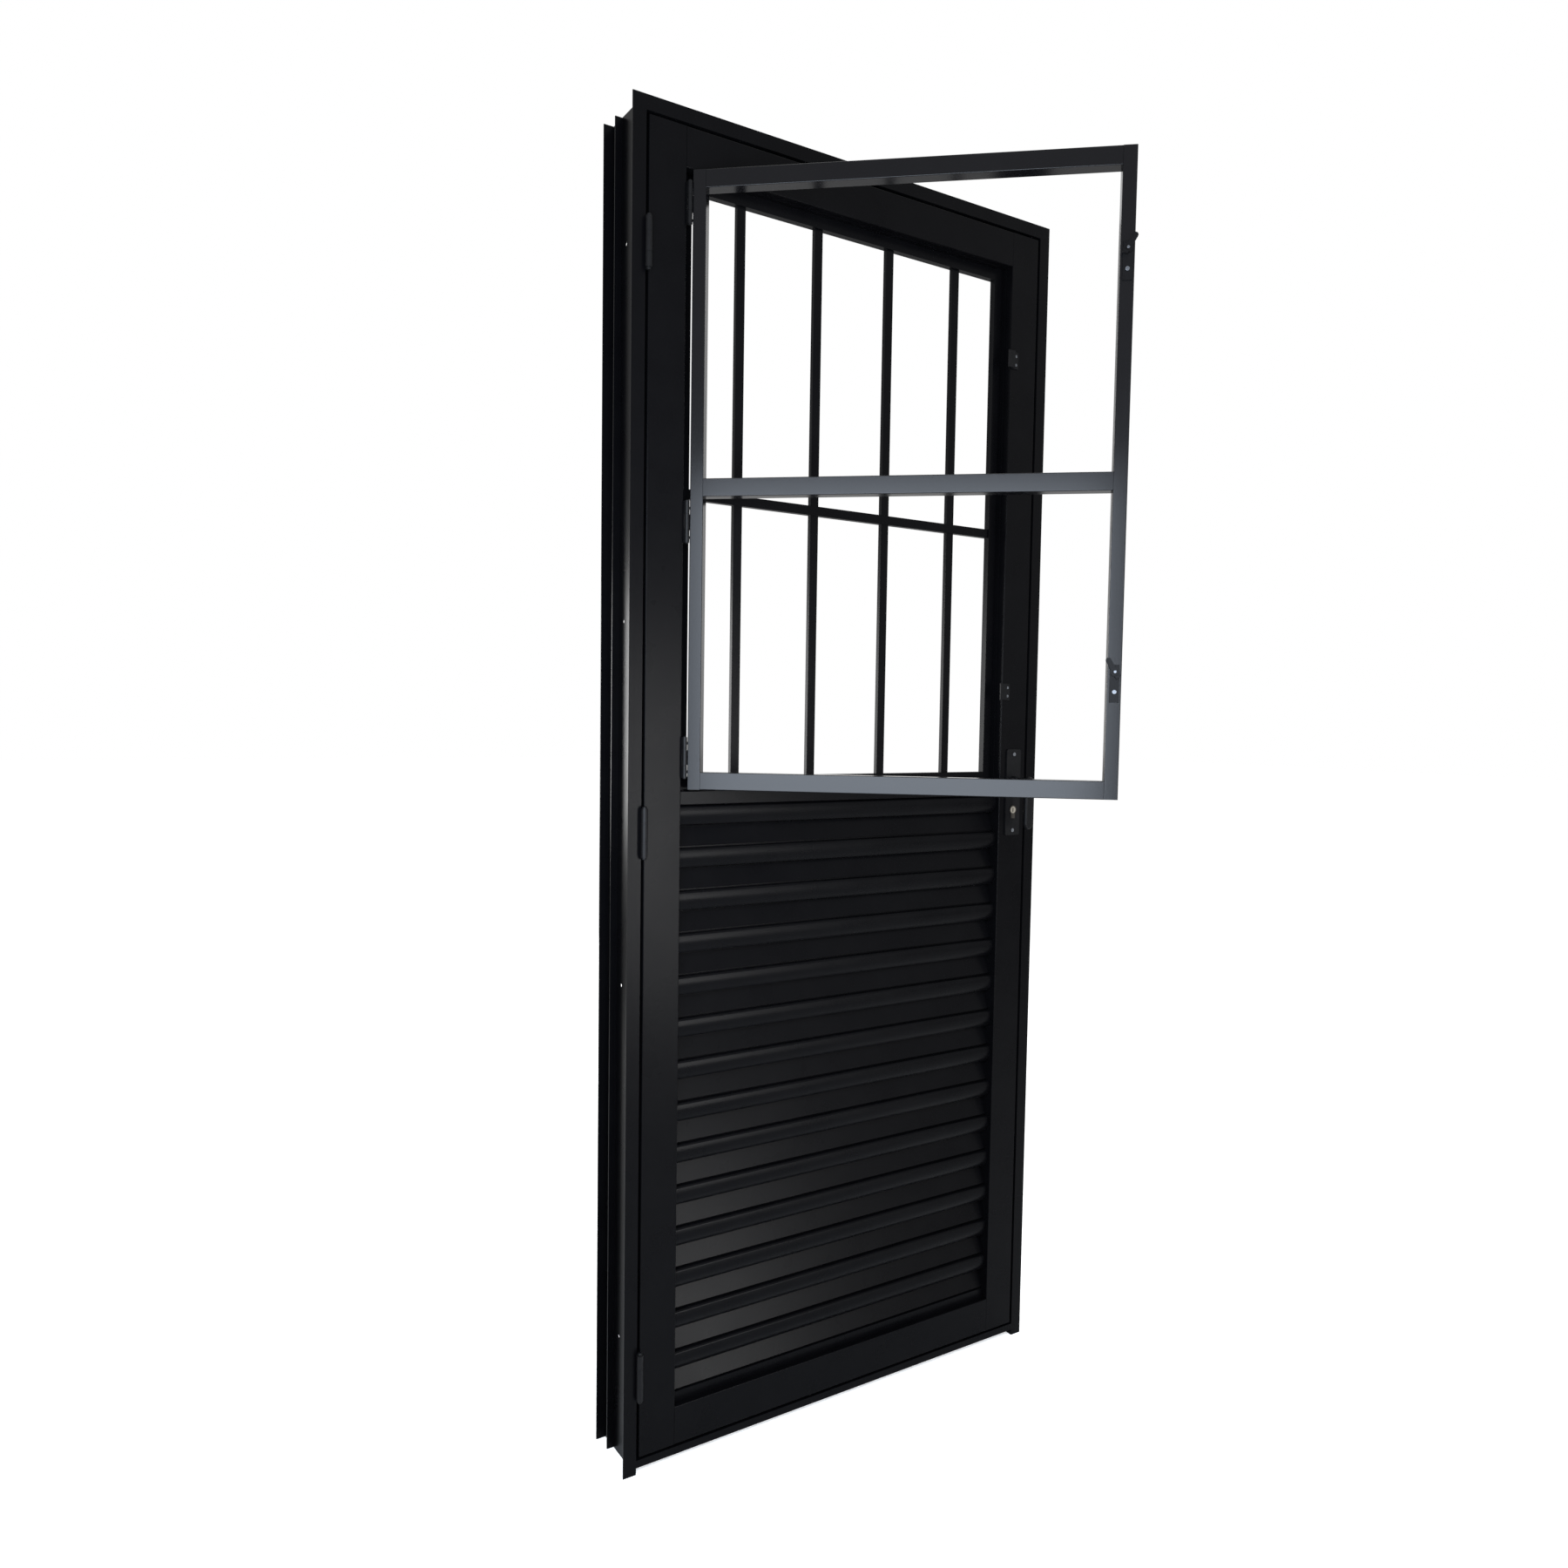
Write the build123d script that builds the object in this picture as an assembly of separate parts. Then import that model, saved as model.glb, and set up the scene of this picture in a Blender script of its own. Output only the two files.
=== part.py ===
from build123d import *
import os

# Black aluminium door in its frame: a louvred panel below, a barred window
# above, and a side-hung window vent that stands open.
# Millimetres. X runs right as seen from outside, Y runs into the room and
# Z runs up. The origin is the middle of the frame's foot, in its front plane.

# Frame profiles
frame_width = 870.0
frame_height = 2170.0
frame_depth = 120.0
flange_width = 23.0
frame_wall = 1.8
back_flange_width = 18.6
wall_rib_depth = 85.0
wall_rib_width = 12.0
stop_width = 15.0
stop_depth = 12.0
seal_thickness = 1.7
seal_width = 7.0
fixing_hole = 6.5
fixing_hole_depth = 68.0
fixing_drill_length = 10.0
fixing_first = 200.0
fixing_pitch = 590.0
fixing_count = 4

# Threshold
threshold_lift = 11.0
threshold_height = 12.5
threshold_depth = 60.0
threshold_upstand = 14.0

# Leaf
side_gap = 5.0
top_gap = 5.0
bottom_gap = 4.5
leaf_thickness = 38.0
leaf_wall = 1.6
leaf_edge_radius = 1.2
stile_width = 64.0
top_rail_height = 62.0
bottom_rail_height = 64.0
mid_rail_height = 22.0
mid_rail_top = 1110.0
seal_clearance = 0.3

# Louvre slats, drawn from the groove at the top of each one
slat_count = 14
slat_sheet = 1.4
slat_hook_depth = 19.0
slat_hook_rise = 5.0
slat_groove = 1.5
slat_lip_depth = 13.0
slat_shoulder_depth = 10.2
slat_shoulder_drop = 2.7
slat_brow_depth = 8.6
slat_brow_drop = 6.0
slat_nose_depth = 8.0
slat_nose_drop = 17.0
slat_curl_depth = 15.0
slat_curl_drop = 33.0
slat_back_depth = 27.0
slat_back_drop = 36.0
slat_toe_depth = 15.5
slat_joint = 1.5
base_trim_height = 18.5

# Window rebate and grille
window_stop_width = 22.0
window_stop_face = 24.0
window_stop_sheet = 1.6
window_ridge_depth = 14.0
window_ridge_width = 4.0
grille_bar_width = 16.0
grille_bar_thickness = 8.0
grille_bar_pitch = 152.0
grille_bar_count = 4
grille_face = 28.0
cross_bar_height = 16.0
cross_bar_extra = 1.0
cross_bar_rise = 476.0

# Window vent
vent_width = 668.0
vent_hinge_gap = 7.5
vent_height_gap = 3.0
vent_thickness = 24.0
vent_proud = 1.0
vent_wall = 1.5
vent_stile_width = 21.0
vent_rail_height = 28.0
vent_mid_rise = 480.0
vent_open_angle = 41.0

# Leaf hinges
hinge_length = 76.0
hinge_knuckle_radius = 5.5
hinge_pin_radius = 2.5
hinge_stand_off = 0.7
hinge_plate = 1.4
hinge_plate_depth = 32.0
hinge_middle_knuckle = 30.0
finial_radius = 4.0
finial_height = 4.0
finial_chamfer = 1.3
hinge_lowest = 165.0
hinge_below_mid_rail = 42.0
hinge_top_inset = 192.0

# Vent hinges
vent_hinge_length = 65.0
vent_knuckle_radius = 4.0
vent_pin_radius = 1.8
vent_hinge_stand_off = 0.5
vent_hinge_plate = 1.4
vent_hinge_plate_depth = 13.0
vent_middle_knuckle = 24.0
vent_finial_radius = 3.2
vent_finial_height = 1.6
vent_finial_chamfer = 1.0
vent_hinge_inset = 54.0
vent_hinge_below_bar = 50.0
knuckle_gap = 0.3
pin_clearance = 0.05

# Lock and handle
lock_backset = 31.0
spindle_height = 1115.0
lock_centres = 56.0
spindle_side = 8.0
lock_plate_width = 36.0
lock_plate_height = 166.0
lock_plate_thickness = 3.0
lock_plate_drop = 22.0
lock_plate_radius = 4.0
lock_plate_screw_inset = 9.5
screw_radius = 1.9
screw_head_radius = 3.6
screw_head_height = 1.2
screw_length = 8.0
case_thickness = 20.0
case_sheet = 1.6
case_depth = 55.0
case_below_spindle = 85.0
case_above_spindle = 35.0
faceplate_height = 156.0
follower_radius = 10.5
turning_clearance = 0.35
latch_height = 20.0
latch_thickness = 14.0
latch_length = 18.5
latch_set_back = 0.5
latch_slope_length = 9.0
latch_slope_width = 11.2
bolt_height = 22.0
bolt_thickness = 12.0
bolt_length = 46.0
bolt_rise = 22.0
sliding_clearance = 0.3
cylinder_radius = 8.5
cylinder_lug_width = 10.0
cylinder_lug_drop = 16.0
cylinder_proud = 1.0
plug_radius = 6.5
keyway_width = 2.0
keyway_height = 8.0
keyway_depth = 10.0
lever_boss_radius = 9.0
lever_boss_length = 11.0
lever_neck_radius = 6.5
lever_reach = 45.0
lever_grip_width = 20.0
lever_grip_thickness = 9.0
lever_length = 90.0
lever_edge_radius = 3.5
strike_sheet = 1.4
strike_height = 116.0
strike_width = 22.0
pocket_clearance = 1.5

# Vent catches and their keepers
catch_above_spindle = 191.0
catch_below_top_rail = 152.0
catch_rest_angles = (120.0, 60.0)
catch_base_width = 14.0
catch_base_above = 11.0
catch_base_below = 46.0
catch_base_thickness = 2.5
catch_disc_radius = 7.0
catch_lever_thickness = 3.0
catch_lever_clearance = 0.1
catch_tongue_length = 24.0
catch_tongue_width = 8.0
catch_tail_length = 10.0
catch_tail_rise = 5.0
catch_pivot_radius = 2.0
keeper_below_pivot = 20.0
keeper_height = 31.0
keeper_width = 16.0
keeper_sheet = 2.2
keeper_inset = 2.0
keeper_nose_reach = 12.0
keeper_nose_gap = 0.5

# How far a cutting shape runs past the face that it cuts
overcut = 1.0

# Places that follow from the sizes above
jamb_face = frame_width / 2 - flange_width
stop_face = jamb_face - stop_width
head_under = frame_height - flange_width
stop_top = head_under - stop_width
leaf_half = jamb_face - side_gap
opening_half = leaf_half - stile_width
leaf_top = head_under - top_gap
threshold_top = threshold_lift + threshold_height
leaf_bottom = threshold_top + bottom_gap
window_top = leaf_top - top_rail_height
mid_rail_bottom = mid_rail_top - mid_rail_height
bottom_rail_top = leaf_bottom + bottom_rail_height
stop_front = leaf_thickness + seal_clearance + seal_thickness
clear_half = opening_half - window_stop_width
clear_top = window_top - window_stop_width
clear_bottom = mid_rail_top + window_stop_width
slat_pitch = (mid_rail_bottom - bottom_rail_top - base_trim_height) / slat_count
hinge_x = -(jamb_face + leaf_half) / 2
hinge_y = -(hinge_knuckle_radius + hinge_stand_off)
vent_hinge_x = -(opening_half - vent_knuckle_radius)
vent_hinge_y = -(vent_knuckle_radius + vent_hinge_stand_off)
vent_left = -(opening_half - vent_hinge_gap)
vent_right = vent_left + vent_width
vent_bottom = mid_rail_top + vent_height_gap
vent_top = window_top - vent_height_gap
spindle_x = leaf_half - lock_backset
cylinder_height = spindle_height - lock_centres
lock_plate_centre = spindle_height - lock_plate_drop
case_front = (leaf_thickness - case_thickness) / 2
case_back = case_front + case_thickness
bolt_centre = cylinder_height + bolt_rise
catch_x = vent_right - vent_stile_width / 2
case_bottom = spindle_height - case_below_spindle
case_top = spindle_height + case_above_spindle
cross_bar_centre = mid_rail_top + cross_bar_rise
vent_mid_centre = mid_rail_top + vent_mid_rise
catch_heights = (spindle_height + catch_above_spindle, window_top - catch_below_top_rail)
hinge_heights = (hinge_lowest, mid_rail_bottom - hinge_below_mid_rail, leaf_top - hinge_top_inset)
vent_hinge_heights = (
    mid_rail_top + vent_hinge_inset,
    cross_bar_centre - vent_hinge_below_bar,
    window_top - vent_hinge_inset,
)
through = 2 * leaf_thickness

nodes = {}


def block(x0, x1, y0, y1, z0, z1):
    """A box between two corners."""
    box = Box(x1 - x0, y1 - y0, z1 - z0)
    return Pos((x0 + x1) / 2, (y0 + y1) / 2, (z0 + z1) / 2) * box


def rod_y(x, z, radius, y0, y1):
    """A round rod along Y."""
    return Pos(x, (y0 + y1) / 2, z) * Rot(90, 0, 0) * Cylinder(radius, y1 - y0)


def rod_z(x, y, radius, z0, z1):
    """A round rod along Z."""
    return Pos(x, y, (z0 + z1) / 2) * Cylinder(radius, z1 - z0)


def round_tube(x0, x1, y0, y1, length, wall, radius):
    """A hollow profile along Z from 0, with rounded outer edges."""
    outer = RectangleRounded(x1 - x0, y1 - y0, radius)
    inner = Rectangle(x1 - x0 - 2 * wall, y1 - y0 - 2 * wall)
    return Pos((x0 + x1) / 2, (y0 + y1) / 2, 0) * extrude(outer - inner, length)


def upright_tube(x0, x1, y0, y1, z0, z1, wall, radius):
    """A hollow profile standing between two heights."""
    return Pos(0, 0, z0) * round_tube(x0, x1, y0, y1, z1 - z0, wall, radius)


def level_tube(x0, x1, y0, y1, z0, z1, wall, radius):
    """A hollow profile lying along X."""
    outer = RectangleRounded(y1 - y0, z1 - z0, radius)
    inner = Rectangle(y1 - y0 - 2 * wall, z1 - z0 - 2 * wall)
    body = extrude(Plane.YZ * (outer - inner), x1 - x0)
    return Pos(x0, (y0 + y1) / 2, (z0 + z1) / 2) * body


def group(solids):
    """Like pieces that share one node, each its own solid."""
    return Compound(children=list(solids))


def flip(shape):
    """The same shape on the other side of the door's middle."""
    return mirror(shape, about=Plane.YZ)


def profile_boxes(place):
    """The frame's wall-side profile, drawn by a function that maps distances
    measured outward from the inner face, and depths, to a box."""
    body = place(0, flange_width, 0, frame_wall)
    body += place(0, frame_wall, 0, frame_depth)
    body += place(0, back_flange_width, frame_depth - frame_wall, frame_depth)
    body += place(0, frame_wall + wall_rib_width, wall_rib_depth, wall_rib_depth + frame_wall)
    return body


def stop_boxes(place):
    """The hollow door stop on the inner face of a frame profile."""
    back = stop_front + stop_depth
    outer = place(-stop_width, frame_wall / 2, stop_front, back)
    inner = place(frame_wall - stop_width, 0, stop_front + frame_wall, back - frame_wall)
    return outer - inner


def make_jamb():
    """One upright of the frame on the lock side, with its wall fixing holes."""
    def full(w0, w1, y0, y1):
        return block(jamb_face + w0, jamb_face + w1, y0, y1, 0, frame_height)

    def between(w0, w1, y0, y1):
        return block(jamb_face + w0, jamb_face + w1, y0, y1, threshold_top, stop_top)

    body = profile_boxes(full) + stop_boxes(between)
    for step in range(fixing_count):
        height = fixing_first + step * fixing_pitch
        drill = Pos(jamb_face, fixing_hole_depth, height) * Rot(0, 90, 0)
        body -= drill * Cylinder(fixing_hole / 2, fixing_drill_length)
    return body


def lock_pocket(height, tall, thick):
    """The hole that a latch or bolt needs in the jamb and its strike."""
    middle = leaf_thickness / 2
    half_thick = thick / 2 + pocket_clearance
    half_tall = tall / 2 + pocket_clearance
    near = leaf_half
    far = jamb_face + 2 * frame_wall
    return block(near, far, middle - half_thick, middle + half_thick, height - half_tall, height + half_tall)


def make_head():
    """The frame's head, between the two jambs."""
    def across(w0, w1, y0, y1):
        return block(-jamb_face, jamb_face, y0, y1, head_under + w0, head_under + w1)

    return profile_boxes(across) + stop_boxes(across)


def make_threshold():
    """The low sill with its upstand behind the leaf."""
    under_plate = threshold_top - frame_wall
    body = block(-jamb_face, jamb_face, 0, threshold_depth, under_plate, threshold_top)
    for depth in (0, leaf_thickness, threshold_depth - frame_wall):
        body += block(-jamb_face, jamb_face, depth, depth + frame_wall, threshold_lift, threshold_top)
    upstand_top = threshold_top + threshold_upstand
    body += block(-stop_face, stop_face, stop_front, stop_front + frame_wall, under_plate, upstand_top)
    return body


def make_frame():
    """The fixed frame and what is fastened to it."""
    pocket_latch = lock_pocket(spindle_height, latch_height, latch_thickness)
    pocket_bolt = lock_pocket(bolt_centre, bolt_height, bolt_thickness)
    nodes["hinge_jamb"] = flip(make_jamb())
    nodes["lock_jamb"] = make_jamb() - pocket_latch - pocket_bolt
    nodes["frame_head"] = make_head()
    nodes["threshold"] = make_threshold()

    middle = (spindle_height + bolt_centre) / 2
    strike = block(
        jamb_face - strike_sheet,
        jamb_face,
        (leaf_thickness - strike_width) / 2,
        (leaf_thickness + strike_width) / 2,
        middle - strike_height / 2,
        middle + strike_height / 2,
    )
    nodes["strike_plate"] = strike - pocket_latch - pocket_bolt

    seal_back = stop_front
    seal_front = stop_front - seal_thickness
    side_bottom = threshold_top + threshold_upstand
    side = block(stop_face, stop_face + seal_width, seal_front, seal_back, side_bottom, stop_top)
    top = block(-stop_face, stop_face, seal_front, seal_back, stop_top, stop_top + seal_width)
    foot = block(-stop_face, stop_face, seal_front, seal_back, side_bottom - seal_width, side_bottom)
    nodes["frame_seal"] = group([flip(side), side, top, foot])


def leaf_stile():
    """The lock-side stile without its lock holes."""
    return upright_tube(
        opening_half, leaf_half, 0, leaf_thickness, leaf_bottom, leaf_top, leaf_wall, leaf_edge_radius
    )


def leaf_rail(bottom, top):
    """A rail between the two stiles."""
    half = opening_half
    return level_tube(-half, half, 0, leaf_thickness, bottom, top, leaf_wall, leaf_edge_radius)


def slat_section():
    """A louvre slat's sheet section in depth and height, groove at zero."""
    hook_top = (slat_hook_depth, slat_hook_rise)
    hook_foot = (slat_hook_depth, -slat_groove)
    lip = (slat_lip_depth, -slat_groove)
    shoulder = (slat_shoulder_depth, -slat_shoulder_drop)
    brow = (slat_brow_depth, -slat_brow_drop)
    nose = (slat_nose_depth, -slat_nose_drop)
    curl = (slat_curl_depth, -slat_curl_drop)
    back = (slat_back_depth, -slat_back_drop)
    toe = (slat_toe_depth, slat_joint - slat_pitch)
    path = Line(hook_top, hook_foot) + Line(hook_foot, lip) + ThreePointArc(lip, shoulder, brow)
    path += ThreePointArc(brow, nose, curl)
    path += Line(curl, back) + Line(back, toe)
    outline = Wire(path.edges()).offset_2d(slat_sheet, Kind.INTERSECTION, Side.LEFT, True)
    return make_face(outline)


def make_louvres():
    """The closed louvre panel: one sheet slat for each pitch."""
    section = Plane.YZ * slat_section()
    slat = Pos(-opening_half, 0, 0) * extrude(section, 2 * opening_half)
    trimmer = block(-opening_half, opening_half, 0, leaf_thickness, mid_rail_bottom, mid_rail_top)
    for index in range(slat_count):
        height = mid_rail_bottom - index * slat_pitch
        placed = Pos(0, 0, height) * slat
        if index == 0:
            placed -= trimmer
        nodes[f"louvre_slat_{index + 1:02d}"] = placed
    trim_top = bottom_rail_top + base_trim_height - slat_groove
    trim = block(
        -opening_half, opening_half, slat_lip_depth, leaf_thickness - leaf_wall, bottom_rail_top, trim_top
    )
    hollow = block(
        -opening_half,
        opening_half,
        slat_lip_depth + leaf_wall,
        leaf_thickness,
        bottom_rail_top + leaf_wall,
        trim_top - leaf_wall,
    )
    hook_back = slat_hook_depth + slat_sheet
    hook_top = trim_top + slat_groove + slat_hook_rise
    hook = block(-opening_half, opening_half, slat_hook_depth, hook_back, trim_top - leaf_wall, hook_top)
    nodes["leaf_bottom_rail"] += trim - hollow + hook


def window_stop(place, ridge_width):
    """The rebate profile, drawn by a function that maps distances inward from
    the opening's edge, and depths, to a box. Its ridge is ridge_width wide."""
    sheet = window_stop_sheet
    face = window_stop_face
    body = place(0, sheet, window_ridge_depth, leaf_thickness)
    body += place(0, ridge_width, window_ridge_depth, window_ridge_depth + sheet)
    body += place(0, window_stop_width, face, face + sheet)
    body += place(window_stop_width - sheet, window_stop_width, face, leaf_thickness - sheet)
    return body


def make_window():
    """The rebate around the window and the bar grille inside it."""
    def side(w0, w1, y0, y1):
        return block(opening_half - w1, opening_half - w0, y0, y1, mid_rail_top, window_top)

    def upper(w0, w1, y0, y1):
        return block(-clear_half, clear_half, y0, y1, window_top - w1, window_top - w0)

    def lower(w0, w1, y0, y1):
        return block(-clear_half, clear_half, y0, y1, mid_rail_top + w0, mid_rail_top + w1)

    nodes["window_stop_left"] = flip(window_stop(side, window_ridge_width))
    nodes["window_stop_right"] = window_stop(side, window_ridge_width)
    nodes["window_stop_top"] = window_stop(upper, window_stop_sheet)
    nodes["window_stop_bottom"] = window_stop(lower, window_stop_sheet)

    front = grille_face
    back = grille_face + grille_bar_thickness
    cross = block(
        -clear_half,
        clear_half,
        front - cross_bar_extra,
        back + cross_bar_extra,
        cross_bar_centre - cross_bar_height / 2,
        cross_bar_centre + cross_bar_height / 2,
    )
    for index in range(grille_bar_count):
        x = (index - (grille_bar_count - 1) / 2) * grille_bar_pitch
        half = grille_bar_width / 2
        bar = block(x - half, x + half, front, back, clear_bottom, clear_top)
        cross -= bar
        nodes[f"grille_bar_{index + 1}"] = bar
    nodes["grille_cross_bar"] = cross


def knuckle(x, y, radius, bore, z0, z1):
    """One barrel of a hinge."""
    return rod_z(x, y, radius, z0, z1) - rod_z(x, y, bore, z0 - overcut, z1 + overcut)


def hinge_half(x, y, radius, bore, own, other, plate, depth):
    """A hinge plate between its two faces, with its own barrels, cut clear of
    the other half's barrels."""
    low = min(z0 for z0, z1 in own + other)
    high = max(z1 for z0, z1 in own + other)
    half = block(plate[0], plate[1], y, depth, low, high)
    for z0, z1 in other:
        half -= rod_z(x, y, radius + knuckle_gap, z0 - knuckle_gap, z1 + knuckle_gap)
    half -= rod_z(x, y, bore, low - overcut, high + overcut)
    for z0, z1 in own:
        half += knuckle(x, y, radius, bore, z0, z1)
    return half


def hinge_spans(centre, length, middle):
    """Heights of the end barrels and of the middle barrel."""
    low = centre - length / 2
    high = centre + length / 2
    mid_low = centre - middle / 2
    mid_high = centre + middle / 2
    ends = [(low, mid_low - knuckle_gap), (mid_high + knuckle_gap, high)]
    return ends, [(mid_low, mid_high)]


def hinge_pin(x, y, radius, low, high, cap_radius, cap_height, cap_chamfer):
    """A hinge pin with a small finial at each end."""
    pin = rod_z(x, y, radius, low, high)
    for base, turn in ((high, 0), (low, 180)):
        cap = Cylinder(cap_radius, cap_height, align=(Align.CENTER, Align.CENTER, Align.MIN))
        cap = chamfer(cap.edges().group_by(Axis.Z)[-1], cap_chamfer)
        pin += Pos(x, y, base) * Rot(turn, 0, 0) * cap
    return pin


def make_leaf_hinges():
    """Three butt hinges between the frame and the leaf."""
    bore = hinge_pin_radius + pin_clearance
    frame_halves = []
    leaf_halves = []
    pins = []
    for centre in hinge_heights:
        ends, middle = hinge_spans(centre, hinge_length, hinge_middle_knuckle)
        frame_plate = (-jamb_face, hinge_plate - jamb_face)
        leaf_plate = (-leaf_half - hinge_plate, -leaf_half)
        barrel = (hinge_x, hinge_y, hinge_knuckle_radius, bore)
        frame_halves.append(hinge_half(*barrel, ends, middle, frame_plate, hinge_plate_depth))
        leaf_halves.append(hinge_half(*barrel, middle, ends, leaf_plate, hinge_plate_depth))
        finial = (finial_radius, finial_height, finial_chamfer)
        pins.append(hinge_pin(hinge_x, hinge_y, hinge_pin_radius, ends[0][0], ends[1][1], *finial))
    nodes["door_hinge_frame_plates"] = group(frame_halves)
    nodes["door_hinge_leaf_plates"] = group(leaf_halves)
    nodes["door_hinge_pins"] = group(pins)


def cylinder_profile(extra, y0, y1):
    """The lock cylinder's pear-shaped section along Y."""
    x = spindle_x
    z = cylinder_height
    half = cylinder_lug_width / 2 + extra
    body = rod_y(x, z, cylinder_radius + extra, y0, y1)
    body += block(x - half, x + half, y0, y1, z - cylinder_lug_drop - extra, z)
    return body


def make_lock():
    """The mortise lock, its plates, cylinder, handle, latch and bolt."""
    x = spindle_x
    thickness = lock_plate_thickness
    boss_hole = rod_y(x, spindle_height, lever_boss_radius + turning_clearance, -through, through)
    cylinder_hole = cylinder_profile(sliding_clearance, -through, through)
    screw_heights = (
        lock_plate_centre - lock_plate_height / 2 + lock_plate_screw_inset,
        lock_plate_centre + lock_plate_height / 2 - lock_plate_screw_inset,
    )

    screw_holes = None
    screws = []
    middle = leaf_thickness / 2
    for height in screw_heights:
        hole = rod_y(x, height, screw_radius + pin_clearance, -through, through)
        screw_holes = hole if screw_holes is None else screw_holes + hole
        screw = rod_y(x, height, screw_head_radius, -thickness - screw_head_height, -thickness)
        screw += rod_y(x, height, screw_radius, -thickness, screw_length - thickness)
        screws.append(screw)
        screws.append(Pos(0, 2 * middle, 0) * mirror(screw, about=Plane.XZ))
    nodes["lock_plate_screws"] = group(screws)

    outline = RectangleRounded(lock_plate_width, lock_plate_height, lock_plate_radius)
    plate = Pos(x, 0, lock_plate_centre) * extrude(Plane.XZ * outline, thickness)
    plate -= boss_hole
    plate -= cylinder_hole
    plate -= screw_holes
    nodes["lock_plates"] = group([plate, Pos(0, 2 * middle, 0) * mirror(plate, about=Plane.XZ)])

    face_low = (case_bottom + case_top - faceplate_height) / 2
    face_high = face_low + faceplate_height
    mortise = block(
        leaf_half - 2 * leaf_wall,
        leaf_half + overcut,
        case_front - pin_clearance,
        case_back + pin_clearance,
        face_low - pin_clearance,
        face_high + pin_clearance,
    )
    nodes["lock_stile"] = leaf_stile() - mortise - boss_hole - cylinder_hole - screw_holes

    inside = leaf_half - leaf_wall
    shell = block(inside - case_depth, inside, case_front, case_back, case_bottom, case_top)
    shell -= block(
        inside - case_depth + case_sheet,
        inside,
        case_front + case_sheet,
        case_back - case_sheet,
        case_bottom + case_sheet,
        case_top - case_sheet,
    )
    shell += block(inside, leaf_half, case_front, case_back, face_low, face_high)
    shell -= rod_y(x, spindle_height, follower_radius + turning_clearance, -through, through)
    shell -= cylinder_hole
    latch_tip = leaf_half - latch_set_back
    latch = block(
        latch_tip - latch_length,
        latch_tip,
        middle - latch_thickness / 2,
        middle + latch_thickness / 2,
        spindle_height - latch_height / 2,
        spindle_height + latch_height / 2,
    )
    bolt = block(
        latch_tip - bolt_length,
        latch_tip,
        middle - bolt_thickness / 2,
        middle + bolt_thickness / 2,
        bolt_centre - bolt_height / 2,
        bolt_centre + bolt_height / 2,
    )
    clear = sliding_clearance
    shell -= block(
        inside - overcut,
        leaf_half + overcut,
        middle - latch_thickness / 2 - clear,
        middle + latch_thickness / 2 + clear,
        spindle_height - latch_height / 2 - clear,
        spindle_height + latch_height / 2 + clear,
    )
    shell -= block(
        inside - overcut,
        leaf_half + overcut,
        middle - bolt_thickness / 2 - clear,
        middle + bolt_thickness / 2 + clear,
        bolt_centre - bolt_height / 2 - clear,
        bolt_centre + bolt_height / 2 + clear,
    )
    nodes["lock_case"] = shell
    corner = latch.edges().filter_by(Axis.Z).group_by(Axis.X)[-1].sort_by(Axis.Y)[-1]
    nodes["latch"] = chamfer(corner, latch_slope_length, latch_slope_width)
    nodes["deadbolt"] = bolt

    proud = thickness + cylinder_proud
    barrel = cylinder_profile(0, -proud, leaf_thickness + proud)
    barrel -= rod_y(x, cylinder_height, plug_radius + pin_clearance, -through, through)
    nodes["key_cylinder"] = barrel
    plug = rod_y(x, cylinder_height, plug_radius, -proud, leaf_thickness + proud)
    half_key = keyway_width / 2
    key_low = cylinder_height - keyway_height / 2
    key_high = cylinder_height + keyway_height / 2
    plug -= block(x - half_key, x + half_key, -proud, keyway_depth - proud, key_low, key_high)
    far = leaf_thickness + proud
    plug -= block(x - half_key, x + half_key, far - keyway_depth, far, key_low, key_high)
    nodes["cylinder_plug"] = plug

    half_side = spindle_side / 2
    socket = block(
        x - half_side,
        x + half_side,
        -through,
        through,
        spindle_height - half_side,
        spindle_height + half_side,
    )
    follower = rod_y(x, spindle_height, follower_radius, case_front, case_back)
    nodes["lock_follower"] = follower - socket
    boss_end = -thickness - lever_boss_length
    spindle = block(
        x - half_side,
        x + half_side,
        boss_end,
        leaf_thickness - boss_end,
        spindle_height - half_side,
        spindle_height + half_side,
    )
    nodes["spindle"] = spindle

    grip_front = -(lever_reach + lever_grip_thickness / 2)
    grip_back = grip_front + lever_grip_thickness
    lever = rod_y(x, spindle_height, lever_boss_radius, boss_end, 0)
    lever -= spindle
    lever += rod_y(x, spindle_height, lever_neck_radius, grip_back, boss_end)
    grip_height = lever_length + lever_grip_width / 2
    grip = SlotOverall(grip_height, lever_grip_width, rotation=90)
    grip = extrude(Plane.XZ * grip, lever_grip_thickness)
    grip = fillet(grip.edges(), lever_edge_radius)
    grip_centre = spindle_height + lever_grip_width / 2 - grip_height / 2
    lever += Pos(x, grip_back, grip_centre) * grip
    nodes["outer_lever"] = lever
    nodes["inner_lever"] = Pos(0, 2 * middle, 0) * mirror(lever, about=Plane.XZ)


def make_leaf():
    """The leaf's own profiles."""
    nodes["hinge_stile"] = flip(leaf_stile())
    nodes["leaf_top_rail"] = leaf_rail(window_top, leaf_top)
    nodes["leaf_mid_rail"] = leaf_rail(mid_rail_bottom, mid_rail_top)
    nodes["leaf_bottom_rail"] = leaf_rail(leaf_bottom, bottom_rail_top)


def open_vent(shape):
    """Swing a piece of the vent from shut to where it stands open."""
    swing = Pos(vent_hinge_x, vent_hinge_y, 0) * Rot(0, 0, -vent_open_angle)
    return swing * Pos(-vent_hinge_x, -vent_hinge_y, 0) * shape


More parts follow.
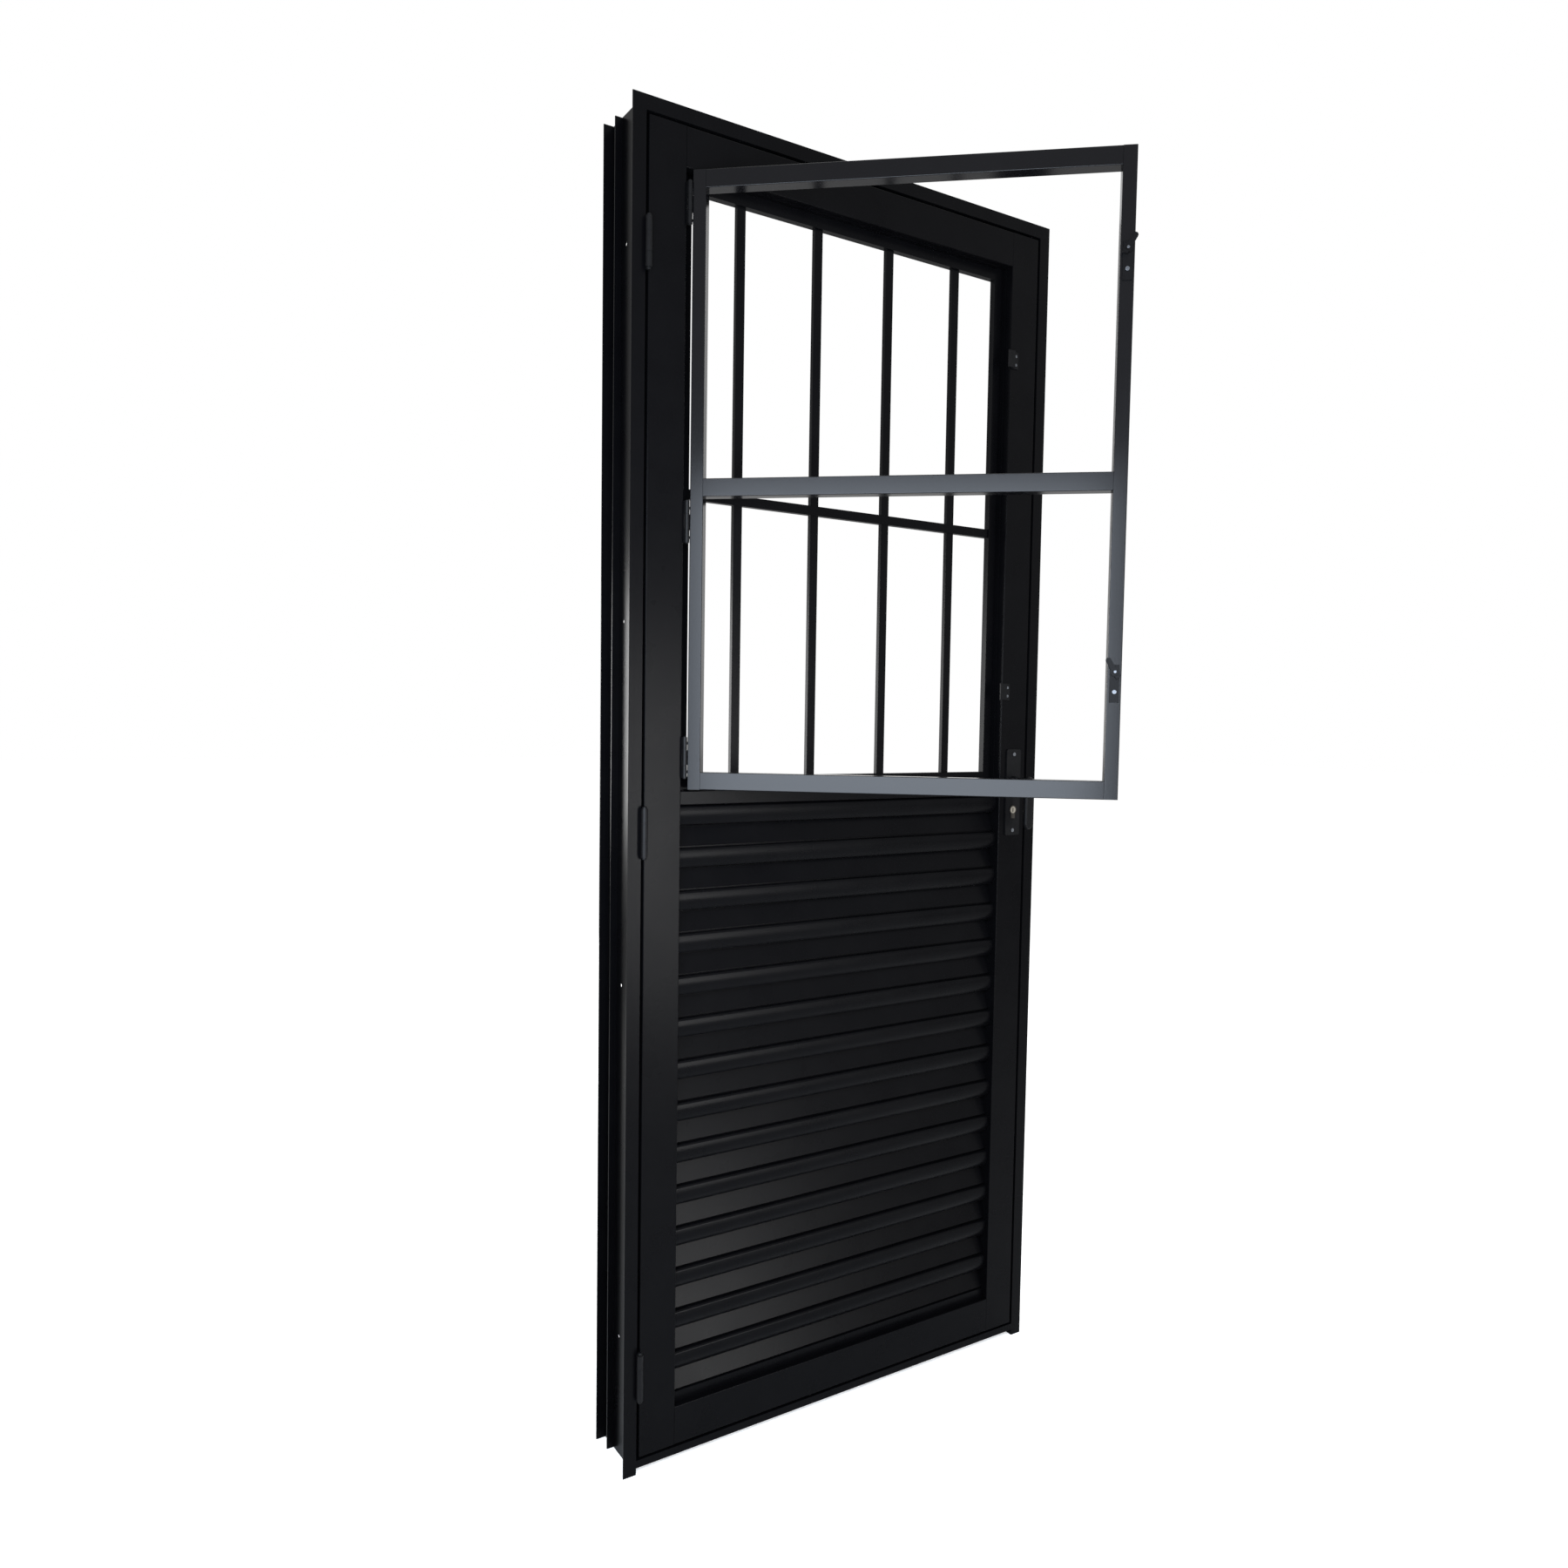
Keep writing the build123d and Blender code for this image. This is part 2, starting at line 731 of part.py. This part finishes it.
def make_vent():
    """The vent's frame, drawn shut and then swung open."""
    front = -vent_proud
    back = front + vent_thickness
    inner_left = vent_left + vent_stile_width
    inner_right = vent_right - vent_stile_width
    edge = leaf_edge_radius
    left = upright_tube(vent_left, inner_left, front, back, vent_bottom, vent_top, vent_wall, edge)
    right = upright_tube(inner_right, vent_right, front, back, vent_bottom, vent_top, vent_wall, edge)
    nodes["vent_hinge_stile"] = open_vent(left)
    nodes["vent_lock_stile"] = open_vent(right)
    rails = {
        "vent_bottom_rail": vent_bottom,
        "vent_mid_rail": vent_mid_centre - vent_rail_height / 2,
        "vent_top_rail": vent_top - vent_rail_height,
    }
    for name, low in rails.items():
        rail = level_tube(inner_left, inner_right, front, back, low, low + vent_rail_height, vent_wall, edge)
        nodes[name] = open_vent(rail)


def make_vent_hinges():
    """Three small hinges between the leaf and the vent."""
    x = vent_hinge_x
    y = vent_hinge_y
    radius = vent_knuckle_radius
    bore = vent_pin_radius + pin_clearance
    leaf_side = []
    vent_side = []
    pins = []
    for centre in vent_hinge_heights:
        ends, middle = hinge_spans(centre, vent_hinge_length, vent_middle_knuckle)
        leaf_plate = (-opening_half, vent_hinge_plate - opening_half)
        reach = vent_hinge_plate_depth
        leaf_side.append(hinge_half(x, y, radius, bore, ends, middle, leaf_plate, reach))
        low, high = middle[0]
        web_back = -vent_proud
        web_front = web_back - vent_hinge_plate
        flag = block(x, vent_left, web_front, web_back, low, high)
        flag += block(vent_left - vent_hinge_plate, vent_left, web_front, reach, low, high)
        flag -= rod_z(x, y, bore, low - overcut, high + overcut)
        flag += knuckle(x, y, radius, bore, low, high)
        vent_side.append(open_vent(flag))
        finial = (vent_finial_radius, vent_finial_height, vent_finial_chamfer)
        pins.append(hinge_pin(x, y, vent_pin_radius, ends[0][0], ends[1][1], *finial))
    nodes["vent_hinge_leaf_plates"] = group(leaf_side)
    nodes["vent_hinge_vent_plates"] = group(vent_side)
    nodes["vent_hinge_pins"] = group(pins)


def catch_parts(height, rest_angle):
    """A turn catch's base and lever, on the shut vent."""
    x = catch_x
    face = -vent_proud
    base_front = face - catch_base_thickness
    half = catch_base_width / 2
    base = block(
        x - half, x + half, base_front, face, height - catch_base_below, height + catch_base_above
    )
    lever_back = base_front - catch_lever_clearance
    lever_front = lever_back - catch_lever_thickness
    base += rod_y(x, height, catch_pivot_radius, lever_front, base_front)
    half_tongue = catch_tongue_width / 2
    round_end = catch_tongue_length - half_tongue
    lever = rod_y(0, 0, catch_disc_radius, lever_front, lever_back)
    lever += block(0, round_end, lever_front, lever_back, -half_tongue, half_tongue)
    lever += rod_y(round_end, 0, half_tongue, lever_front, lever_back)
    tail_front = lever_front - catch_tail_rise
    lever += block(
        -catch_tail_length,
        half_tongue - catch_tail_length,
        tail_front,
        lever_back,
        -half_tongue,
        half_tongue,
    )
    lever += block(half_tongue - catch_tail_length, 0, lever_front, lever_back, -half_tongue, half_tongue)
    lever -= rod_y(0, 0, catch_pivot_radius + pin_clearance, tail_front - overcut, lever_back + overcut)
    lever = Pos(x, 0, height) * Rot(0, -rest_angle, 0) * lever
    return open_vent(base), open_vent(lever)


def keeper(height):
    """The hooked plate on the leaf that a catch turns behind."""
    tongue_front = -(vent_proud + catch_base_thickness + catch_lever_clearance + catch_lever_thickness)
    nose_back = tongue_front - keeper_nose_gap
    nose_front = nose_back - keeper_sheet
    left = opening_half + keeper_inset
    low = height - keeper_below_pivot - keeper_height / 2
    high = low + keeper_height
    body = block(left, left + keeper_width, -keeper_sheet, 0, low, high)
    body += block(left, left + keeper_sheet, nose_front, 0, low, high)
    body += block(left - keeper_inset - keeper_nose_reach, left, nose_front, nose_back, low, high)
    return body


def make_catches():
    """Two turn catches on the vent and their keepers on the leaf."""
    names = ("lower", "upper")
    bases = []
    for name, height, angle in zip(names, catch_heights, catch_rest_angles):
        base, lever = catch_parts(height, angle)
        bases.append(base)
        nodes[f"{name}_catch_lever"] = lever
    nodes["catch_bases"] = group(bases)
    nodes["catch_keepers"] = group(keeper(height) for height in catch_heights)


make_frame()
make_leaf()
make_louvres()
make_window()
make_lock()
make_leaf_hinges()
make_vent()
make_vent_hinges()
make_catches()

os.makedirs("parts", exist_ok=True)
for node_name, node_shape in nodes.items():
    export_step(node_shape, os.path.join("parts", node_name + ".step"))
print(len(nodes), "nodes written")
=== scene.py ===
# Black aluminium door in its frame, with a louvred panel, a bar grille and an open window vent.
# Metres. X runs right as seen from outside, Y into the room, Z up.
import bpy
import bmesh
import math
from mathutils import Matrix, Vector


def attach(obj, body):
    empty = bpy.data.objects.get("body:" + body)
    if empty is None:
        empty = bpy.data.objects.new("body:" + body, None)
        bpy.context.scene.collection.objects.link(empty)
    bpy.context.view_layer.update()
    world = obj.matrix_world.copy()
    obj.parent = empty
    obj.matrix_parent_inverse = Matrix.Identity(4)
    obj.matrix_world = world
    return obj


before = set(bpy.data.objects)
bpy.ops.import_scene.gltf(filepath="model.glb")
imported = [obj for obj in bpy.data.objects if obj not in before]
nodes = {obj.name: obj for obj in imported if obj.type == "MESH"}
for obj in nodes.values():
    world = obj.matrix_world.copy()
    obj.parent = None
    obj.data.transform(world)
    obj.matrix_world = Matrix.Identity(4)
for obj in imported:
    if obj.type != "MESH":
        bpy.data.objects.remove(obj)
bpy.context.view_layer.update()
mm = 0.001


def colour(hexText):
    # sRGB hex to the linear values that Blender's sockets take
    channels = []
    for start in (1, 3, 5):
        value = int(hexText[start:start + 2], 16) / 255
        channels.append(value / 12.92 if value <= 0.04045 else ((value + 0.055) / 1.055) ** 2.4)
    return (*channels, 1.0)


def addNode(tree, kind, settings, links=()):
    # one node with its settings and the links into it
    node = tree.nodes.new(kind)
    for key, value in settings.items():
        if isinstance(key, int) or key in node.inputs:
            node.inputs[key].default_value = value
        else:
            setattr(node, key, value)
    for socket, source in dict(links).items():
        tree.links.new(source, node.inputs[socket])
    return node


def newMaterial(name):
    material = bpy.data.materials.new(name)
    material.use_nodes = True
    material.node_tree.nodes.clear()
    return material, material.node_tree


def finishMaterial(tree, shader):
    addNode(tree, "ShaderNodeOutputMaterial", {}, {"Surface": shader.outputs["BSDF"]})


noiseDetail = {"drift": 3.0, "peel": 2.0}


def coatedMetal(name, look):
    # A sprayed, cast or plated finish: a little orange peel in the bump, and a sheen and a tone
    # that drift slowly over the surface. Lengths are in millimetres. Inputs 0, 6 and 7 and
    # output 2 of the Mix node are its factor, its two colours and their mixture.
    material, tree = newMaterial(name)
    place = addNode(tree, "ShaderNodeTexCoord", {})
    spot = place.outputs["Object"]
    drift = addNode(tree, "ShaderNodeTexNoise",
                    {"Scale": 1 / (look["driftMm"] * mm), "Detail": noiseDetail["drift"]}, {"Vector": spot})
    peel = addNode(tree, "ShaderNodeTexNoise",
                   {"Scale": 1 / (look["peelMm"] * mm), "Detail": noiseDetail["peel"]}, {"Vector": spot})
    tone = addNode(tree, "ShaderNodeMix",
                   {"data_type": "RGBA", 6: colour(look["dark"]), 7: colour(look["light"])},
                   {0: drift.outputs["Fac"]})
    sheen = addNode(tree, "ShaderNodeMapRange", {"To Min": look["roughness"] - look["roughnessDrift"],
                                                 "To Max": look["roughness"] + look["roughnessDrift"]},
                    {"Value": drift.outputs["Fac"]})
    bump = addNode(tree, "ShaderNodeBump", {"Strength": look["bump"], "Distance": look["peelDepthMm"] * mm},
                   {"Height": peel.outputs["Fac"]})
    shader = addNode(tree, "ShaderNodeBsdfPrincipled", {"Metallic": look["metallic"], "IOR": look["ior"],
                                                        "Specular IOR Level": look["specular"]},
                     {"Base Color": tone.outputs[2], "Roughness": sheen.outputs["Result"],
                      "Normal": bump.outputs["Normal"]})
    finishMaterial(tree, shader)
    return material


# Satin black powder coat on extruded aluminium: nearly black, with a soft broad reflection.
# Orange peel is about 1.5 mm across, drawn at 3 mm so that it shows.
satinPowderCoat = coatedMetal("satinBlackPowderCoat", {
    "dark": "#030304", "light": "#060607", "roughness": 0.28, "roughnessDrift": 0.03, "metallic": 0.0,
    "ior": 1.40, "specular": 0.06, "driftMm": 60, "peelMm": 3, "peelDepthMm": 0.05, "bump": 0.25})
# The vent's slim profiles carry a lit copy of the same coat, lighter in colour, smoother and more
# reflective: painted reflection, so that they mirror more of the room.
ventReflectionPowderCoat = coatedMetal("ventReflectionBlackPowderCoat", {
    "dark": "#050507", "light": "#08080A", "roughness": 0.19, "roughnessDrift": 0.02, "metallic": 0.0,
    "ior": 1.40, "specular": 0.22, "driftMm": 60, "peelMm": 3, "peelDepthMm": 0.03, "bump": 0.2})
# Die-cast metal under matt black enamel, with a coarser skin than the profiles.
enamelledCasting = coatedMetal("blackEnamelledCasting", {
    "dark": "#060607", "light": "#0D0D0E", "roughness": 0.4, "roughnessDrift": 0.04, "metallic": 0.0,
    "ior": 1.45, "specular": 0.08, "driftMm": 12, "peelMm": 1.6, "peelDepthMm": 0.04, "bump": 0.3})
# Painted aluminium hinges: duller than the powder-coated profiles.
paintedAluminium = coatedMetal("blackPaintedAluminium", {
    "dark": "#060607", "light": "#0D0D0E", "roughness": 0.42, "roughnessDrift": 0.04, "metallic": 0.0,
    "ior": 1.45, "specular": 0.12, "driftMm": 10, "peelMm": 2, "peelDepthMm": 0.04, "bump": 0.3})
# Bright zinc plating on steel: bluish grey, with faint crystals in its sheen.
zincPlatedSteel = coatedMetal("zincPlatedSteel", {
    "dark": "#84888D", "light": "#9A9EA3", "roughness": 0.3, "roughnessDrift": 0.08, "metallic": 1.0,
    "ior": 1.5, "specular": 0.5, "driftMm": 2.5, "peelMm": 0.8, "peelDepthMm": 0.02, "bump": 0.2})
# Satin nickel over brass: warm silver.
nickelPlatedBrass = coatedMetal("nickelPlatedBrass", {
    "dark": "#A7A297", "light": "#B5B0A4", "roughness": 0.24, "roughnessDrift": 0.04, "metallic": 1.0,
    "ior": 1.5, "specular": 0.5, "driftMm": 4, "peelMm": 1, "peelDepthMm": 0.01, "bump": 0.2})
# The same two platings in darker copies, as painted shade: screw heads, and the body of the lock cylinder.
shadedZincPlate = coatedMetal("shadedZincPlate", {
    "dark": "#4E5155", "light": "#686B70", "roughness": 0.42, "roughnessDrift": 0.06, "metallic": 1.0,
    "ior": 1.5, "specular": 0.5, "driftMm": 2, "peelMm": 0.8, "peelDepthMm": 0.02, "bump": 0.2})
shadedNickelPlate = coatedMetal("shadedNickelPlate", {
    "dark": "#3A3834", "light": "#4B4844", "roughness": 0.36, "roughnessDrift": 0.05, "metallic": 1.0,
    "ior": 1.5, "specular": 0.5, "driftMm": 3, "peelMm": 1, "peelDepthMm": 0.01, "bump": 0.2})
# Extruded rubber: matt, no clear reflection.
blackRubber = coatedMetal("extrudedBlackRubber", {
    "dark": "#101011", "light": "#171718", "roughness": 0.68, "roughnessDrift": 0.05, "metallic": 0.0,
    "ior": 1.5, "specular": 0.3, "driftMm": 8, "peelMm": 1, "peelDepthMm": 0.03, "bump": 0.3})
print("finishes made")

finishOf = {
    "door_hinge_frame_plates": paintedAluminium,
    "door_hinge_leaf_plates": paintedAluminium,
    "door_hinge_pins": paintedAluminium,
    "vent_hinge_leaf_plates": paintedAluminium,
    "vent_hinge_vent_plates": paintedAluminium,
    "vent_hinge_pins": paintedAluminium,
    "outer_lever": enamelledCasting,
    "inner_lever": enamelledCasting,
    "lock_plates": enamelledCasting,
    "catch_bases": enamelledCasting,
    "catch_keepers": enamelledCasting,
    "lower_catch_lever": enamelledCasting,
    "upper_catch_lever": enamelledCasting,
    "lock_plate_screws": shadedZincPlate,
    "strike_plate": zincPlatedSteel,
    "lock_case": zincPlatedSteel,
    "lock_follower": zincPlatedSteel,
    "spindle": zincPlatedSteel,
    "latch": zincPlatedSteel,
    "deadbolt": zincPlatedSteel,
    # the cylinder's body takes the darker nickel copy, painted shade
    "key_cylinder": shadedNickelPlate,
    "cylinder_plug": nickelPlatedBrass,
    "frame_seal": blackRubber,
    "vent_hinge_stile": ventReflectionPowderCoat,
    "vent_lock_stile": ventReflectionPowderCoat,
    "vent_top_rail": ventReflectionPowderCoat,
    "vent_mid_rail": ventReflectionPowderCoat,
    "vent_bottom_rail": ventReflectionPowderCoat,
}
for nodeName, part in nodes.items():
    finish = finishOf.get(nodeName, satinPowderCoat)
    if not part.material_slots:
        part.data.materials.append(finish)
    for materialSlot in part.material_slots:
        materialSlot.material = finish
print("finishes on", len(nodes), "CAD nodes")


def addPiece(name, mesh, finish, body):
    # a finished mesh as a piece that rides on a body
    data = bpy.data.meshes.new(name)
    mesh.to_mesh(data)
    mesh.free()
    data.materials.append(finish)
    piece = bpy.data.objects.new(name, data)
    bpy.context.scene.collection.objects.link(piece)
    for face in data.polygons:
        face.use_smooth = False
    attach(piece, body)
    return piece


# screws
# the bevel and the recess's depth are shares of the head's height, the recess's width of its radius
screwHead = {"segments": 20, "bevel": 0.15, "bevelSegments": 2, "recessShare": 0.5, "recessDepth": 0.5}


def oneScrewHead(radius, height):
    # a low round head with a plain round recess for the driver, standing at the origin along Z
    head = bmesh.new()
    bmesh.ops.create_cone(head, cap_ends=True, segments=screwHead["segments"], radius1=radius * mm,
                          radius2=radius * mm, depth=height * mm)
    bmesh.ops.translate(head, verts=head.verts, vec=(0, 0, height * mm / 2))
    rim = [edge for edge in head.edges if all(v.co.z > height * mm / 2 for v in edge.verts)]
    bmesh.ops.bevel(head, geom=rim, offset=screwHead["bevel"] * height * mm, affect="EDGES",
                    segments=screwHead["bevelSegments"], profile=0.5, material=-1)
    crown = max(head.faces, key=lambda face: face.calc_center_median().z)
    bmesh.ops.inset_region(head, faces=[crown], thickness=radius * mm * (1 - screwHead["recessShare"]),
                           use_even_offset=True)
    pit = bmesh.ops.extrude_discrete_faces(head, faces=[crown])["faces"][0]
    bmesh.ops.translate(head, verts=pit.verts, vec=(0, 0, -screwHead["recessDepth"] * height * mm))
    data = bpy.data.meshes.new("screwHead")
    head.to_mesh(data)
    head.free()
    return data


def addScrews(name, body, finish, places, direction, radius, height):
    # the same head on each of the given points, facing direction
    pattern = oneScrewHead(radius, height)
    turn = Vector((0, 0, 1)).rotation_difference(Vector(direction)).to_matrix().to_4x4()
    screws = bmesh.new()
    for spot in places:
        before = len(screws.verts)
        screws.from_mesh(pattern)
        screws.verts.ensure_lookup_table()
        bmesh.ops.transform(screws, matrix=Matrix.Translation(Vector(spot) * mm) @ turn,
                            verts=screws.verts[before:])
    return addPiece(name, screws, finish, body)


# Millimetres in all the dictionaries of screws: where the rows stand, and each head's radius
# and height.
hingeScrews = {"heights": (165.0, 1046.0, 1950.0), "rise": 27.0, "depth": 21.0, "radius": 3.0,
               "height": 0.5, "jambPlate": -410.6, "leafPlate": -408.4}
jambSpots = []
leafSpots = []
for centre in hingeScrews["heights"]:
    for step in (-1, 0, 1):
        level = centre + step * hingeScrews["rise"]
        jambSpots.append((hingeScrews["jambPlate"], hingeScrews["depth"], level))
        leafSpots.append((hingeScrews["leafPlate"], hingeScrews["depth"], level))
addScrews("hingeScrewsInJamb", "frame", shadedZincPlate, jambSpots, (1, 0, 0),
          hingeScrews["radius"], hingeScrews["height"])
addScrews("hingeScrewsInLeaf", "leaf", shadedZincPlate, leafSpots, (-1, 0, 0),
          hingeScrews["radius"], hingeScrews["height"])

vent = {"pivot": (-339.0, -4.5), "openDegrees": -41.0}


def onOpenVent(spot):
    # a spot given on the closed vent, turned with it to where it stands open
    pivot = Vector((*vent["pivot"], 0))
    return Matrix.Rotation(math.radians(vent["openDegrees"]), 3, "Z") @ (Vector(spot) - pivot) + pivot


ventHingeScrews = {"heights": (1164.0, 1536.0, 2026.0), "rise": 23.0, "depth": 7.0, "radius": 2.4,
                   "height": 0.4, "leafPlate": -341.6, "ventPlate": -336.9}
ventLeafSpots = []
ventSpots = []
for centre in ventHingeScrews["heights"]:
    for step in (-1, 1):
        level = centre + step * ventHingeScrews["rise"]
        ventLeafSpots.append((ventHingeScrews["leafPlate"], ventHingeScrews["depth"], level))
        ventSpots.append(onOpenVent((ventHingeScrews["ventPlate"], ventHingeScrews["depth"], level)))
addScrews("ventHingeScrewsInLeaf", "leaf", shadedZincPlate, ventLeafSpots, (1, 0, 0),
          ventHingeScrews["radius"], ventHingeScrews["height"])
addScrews("ventHingeScrewsInVent", "vent", shadedZincPlate, ventSpots,
          Matrix.Rotation(math.radians(vent["openDegrees"]), 3, "Z") @ Vector((-1, 0, 0)),
          ventHingeScrews["radius"], ventHingeScrews["height"])

catches = {"heights": (1306.0, 1928.0), "x": 322.0, "leverFace": -6.8, "baseFace": -3.5, "screwDrop": 30.0,
           "pivotRadius": 2.1, "pivotHeight": 0.7, "screwRadius": 3.2, "screwHeight": 1.5}
outward = Matrix.Rotation(math.radians(vent["openDegrees"]), 3, "Z") @ Vector((0, -1, 0))
addScrews("catchPivotHeads", "vent", shadedZincPlate,
          [onOpenVent((catches["x"], catches["leverFace"], level)) for level in catches["heights"]],
          outward, catches["pivotRadius"], catches["pivotHeight"])
addScrews("catchScrews", "vent", shadedZincPlate,
          [onOpenVent((catches["x"], catches["baseFace"], level - catches["screwDrop"]))
           for level in catches["heights"]],
          outward, catches["screwRadius"], catches["screwHeight"])

keepers = {"x": 355.0, "face": -2.2, "drops": (12.0, 28.0), "radius": 2.6, "height": 0.6}
addScrews("keeperScrews", "leaf", shadedZincPlate,
          [(keepers["x"], keepers["face"], level - drop)
           for level in catches["heights"] for drop in keepers["drops"]],
          (0, -1, 0), keepers["radius"], keepers["height"])

lockEdge = {"depth": 19.0, "faceplate": 407.0, "faceplateHeights": (1018.0, 1162.0), "strike": 410.6,
            "strikeHeights": (1047.0, 1149.0), "radius": 3.2, "height": 0.5}
addScrews("faceplateScrews", "leaf", shadedZincPlate,
          [(lockEdge["faceplate"], lockEdge["depth"], level) for level in lockEdge["faceplateHeights"]],
          (1, 0, 0), lockEdge["radius"], lockEdge["height"])
addScrews("strikeScrews", "frame", shadedZincPlate,
          [(lockEdge["strike"], lockEdge["depth"], level) for level in lockEdge["strikeHeights"]],
          (-1, 0, 0), lockEdge["radius"], lockEdge["height"])
print("screws made")


studio = {
    "floorSize": 60.0,
    "floorDrop": 0.5,       # millimetres under the object's feet
    "floorColour": "#F4F4F4",
    "floorRoughness": 0.9,
    "floorGlow": 0.45,
    "worldFill": 0.62,      # what the world gives to matt surfaces
    "cameraPlace": (-1.18206, -1.62805, 1.22853),
    "cameraAzimuth": 32.435,
    "cameraElevation": -3.272,
    "cameraRoll": 0.859,
    "lens": 26.244,
    "sensorWidth": 36.0,
    "nearClip": 0.05,
    "farClip": 200.0,
}

floorMesh = bmesh.new()
bmesh.ops.create_grid(floorMesh, x_segments=1, y_segments=1, size=studio["floorSize"] / 2)
bmesh.ops.translate(floorMesh, verts=floorMesh.verts, vec=(0, 0, -studio["floorDrop"] * mm))
floorData = bpy.data.meshes.new("floor")
floorMesh.to_mesh(floorData)
floorMesh.free()
floor = bpy.data.objects.new("floor", floorData)
bpy.context.scene.collection.objects.link(floor)
floorMaterial, floorTree = newMaterial("mattWhiteFloor")
# for the camera the floor glows a little, so that it is as white as the background out to the
# horizon and still takes the object's shadow
floorPath = addNode(floorTree, "ShaderNodeLightPath", {})
floorGlow = addNode(floorTree, "ShaderNodeMath", {"operation": "MULTIPLY", 1: studio["floorGlow"]},
                    {0: floorPath.outputs["Is Camera Ray"]})
finishMaterial(floorTree, addNode(floorTree, "ShaderNodeBsdfPrincipled",
                                  {"Base Color": colour(studio["floorColour"]),
                                   "Roughness": studio["floorRoughness"],
                                   "Specular IOR Level": 0.0, "Emission Color": colour("#FFFFFF")},
                                  {"Emission Strength": floorGlow.outputs[0]}))
floorData.materials.append(floorMaterial)

azimuth = math.radians(studio["cameraAzimuth"])
elevation = math.radians(studio["cameraElevation"])
forward = Vector((math.sin(azimuth) * math.cos(elevation), math.cos(azimuth) * math.cos(elevation),
                  math.sin(elevation)))
right = Vector((math.cos(azimuth), -math.sin(azimuth), 0))
up = right.cross(forward)
roll = math.radians(studio["cameraRoll"])
rolledRight = math.cos(roll) * right + math.sin(roll) * up
rolledUp = math.cos(roll) * up - math.sin(roll) * right
cameraData = bpy.data.cameras.new("camera")
cameraData.sensor_width = studio["sensorWidth"]
cameraData.lens = studio["lens"]
cameraData.clip_start = studio["nearClip"]
cameraData.clip_end = studio["farClip"]
camera = bpy.data.objects.new("camera", cameraData)
bpy.context.scene.collection.objects.link(camera)
camera.matrix_world = Matrix.Translation(studio["cameraPlace"]) @ Matrix(
    (rolledRight, rolledUp, -forward)).transposed().to_4x4()
bpy.context.scene.camera = camera

lamps = {
    # name: place, point it faces, width, height, watts, colour
    "overhead": ((0.3, -0.2, 4.2), (0.3, 0, 1.0), 3.0, 3.0, 30, "#FFFFFF"),
    "frontBand": ((1.2, -3.4, 0.75), (-0.38, 0, 0.75), 0.6, 1.5, 66, "#FFFFFF"),
    "besideCamera": ((-0.96, -1.12, 1.33), (-0.09, -0.22, 1.33), 1.1, 1.05, 64, "#E4F0FF"),
    "behindLeft": ((-1.9, 2.8, 1.25), (-0.4, 0, 1.2), 1.3, 1.0, 70, "#FFFFFF"),
    "behind": ((0.5, 4.4, 1.5), (0, 0, 1.1), 1.6, 1.4, 70, "#FFFFFF"),
}
for lampName, (place, aim, width, height, watts, tint) in lamps.items():
    lampData = bpy.data.lights.new(lampName, "AREA")
    lampData.shape = "RECTANGLE"
    lampData.size = width
    lampData.size_y = height
    lampData.energy = watts
    lampData.color = colour(tint)[:3]
    lamp = bpy.data.objects.new(lampName, lampData)
    lamp.location = place
    lamp.rotation_euler = (Vector(aim) - Vector(place)).to_track_quat("-Z", "Y").to_euler()
    lamp.visible_camera = False
    bpy.context.scene.collection.objects.link(lamp)

world = bpy.data.worlds.new("whiteStudio")
world.use_nodes = True
sky = world.node_tree
sky.nodes.clear()
path = addNode(sky, "ShaderNodeLightPath", {})
# seen by the camera, in reflections and through clear things the studio is white
seen = addNode(sky, "ShaderNodeMath", {"operation": "MAXIMUM"},
               {0: path.outputs["Is Camera Ray"], 1: path.outputs["Is Glossy Ray"]})
seenThrough = addNode(sky, "ShaderNodeMath", {"operation": "MAXIMUM"},
                      {0: seen.outputs[0], 1: path.outputs["Is Transmission Ray"]})
level = addNode(sky, "ShaderNodeMapRange", {"To Min": studio["worldFill"], "To Max": 1.0},
                {"Value": seenThrough.outputs[0]})
background = addNode(sky, "ShaderNodeBackground", {"Color": colour("#FFFFFF")},
                     {"Strength": level.outputs["Result"]})
addNode(sky, "ShaderNodeOutputWorld", {}, {"Surface": background.outputs["Background"]})
bpy.context.scene.world = world

scene = bpy.context.scene
scene.view_settings.view_transform = "Standard"
print("floor, camera and light set")
